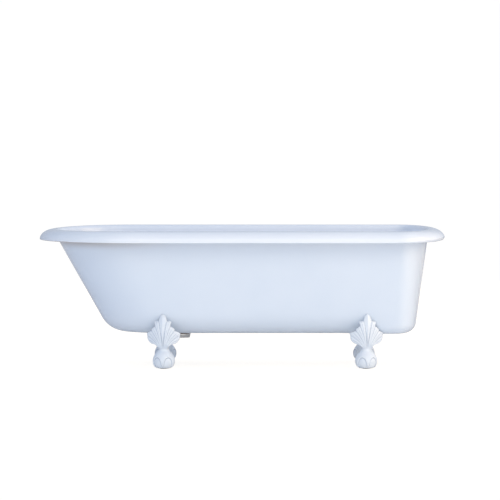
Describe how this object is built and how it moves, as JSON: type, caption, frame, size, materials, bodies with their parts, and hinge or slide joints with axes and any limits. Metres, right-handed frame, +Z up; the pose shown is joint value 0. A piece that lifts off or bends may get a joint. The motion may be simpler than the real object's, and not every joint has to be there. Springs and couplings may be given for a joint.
{
  "type": "roll-top bath",
  "caption": "Free-standing cast-iron roll-top bath with one sloping and one upright end, on palmette ball-and-claw feet, with a lift-and-turn drain stopper.",
  "frame": {"origin": "centre of the bath's footprint at floor level", "axes": "+Z up, +X from the sloping head end to the blunt end, +Y across the bath away from the viewer"},
  "size_m": [1.7282, 0.78, 0.585],
  "materials": {
    "enamel": "gloss white vitreous enamel on cast iron",
    "foot_paint": "gloss white paint on cast iron",
    "zinc_steel": "dull zinc plate",
    "plated_brass": "polished chrome on brass",
    "dull_nickel": "aged nickel plate on brass",
    "seal_rubber": "matt",
    "fibre": "matt"
  },
  "bodies": {
    "bath": {"tub_shell": "enamel", "claw_foot_front_left": "foot_paint", "claw_foot_front_right": "foot_paint", "claw_foot_back_left": "foot_paint", "claw_foot_back_right": "foot_paint", "foot_studs": "zinc_steel", "foot_washers": "zinc_steel", "foot_nuts": "zinc_steel", "waste_flange": "plated_brass", "waste_top_seal": "seal_rubber", "waste_rubber_washer": "seal_rubber", "waste_fibre_washer": "fibre", "waste_locknut": "dull_nickel", "stopper_post": "plated_brass"},
    "sleeve": {"stopper_sleeve": "plated_brass"},
    "stopper": {"stopper_cap": "plated_brass", "stopper_seal": "seal_rubber", "stopper_knob": "plated_brass"}
  },
  "joints": [
    {"name": "stopper_lift", "type": "slide", "parent": "bath", "child": "sleeve", "axis": [0, 0, 1], "range_m": [0, 0.009]},
    {"name": "stopper_turn", "type": "hinge", "parent": "sleeve", "child": "stopper", "pos_m": [-0.262, 0, 0.155], "axis": [0, 0, 1], "range_deg": [0, 90]}
  ]
}
